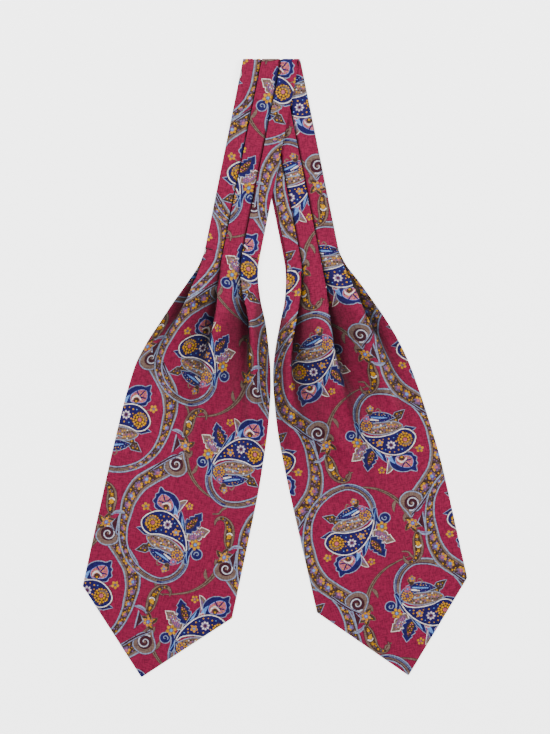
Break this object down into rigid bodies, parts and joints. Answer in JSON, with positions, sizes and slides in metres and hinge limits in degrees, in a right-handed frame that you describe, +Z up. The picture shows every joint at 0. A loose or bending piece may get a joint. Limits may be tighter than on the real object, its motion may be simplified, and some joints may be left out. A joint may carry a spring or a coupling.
{
  "type": "silk cravat laid flat",
  "caption": "Self-lined silk day cravat: pleated neckband folded over at its centre, with two wide pointed blades that open from tacked pleats, laid flat.",
  "frame": {"origin": "centre of the whole cravat's box in plan, on the surface it lies on", "axes": "+Z up from the surface, +Y towards the fold of the neckband, +X towards the right blade seen from above"},
  "size_m": [0.384, 0.6194, 0.0106],
  "materials": {
    "printed_silk": "printed silk twill, soft sheen"
  },
  "bodies": {
    "root": {"neckband_left": "printed_silk", "neckband_right": "printed_silk", "blade_left_face": "printed_silk", "blade_left_lining": "printed_silk", "blade_right_face": "printed_silk", "blade_right_lining": "printed_silk"}
  },
  "joints": []
}
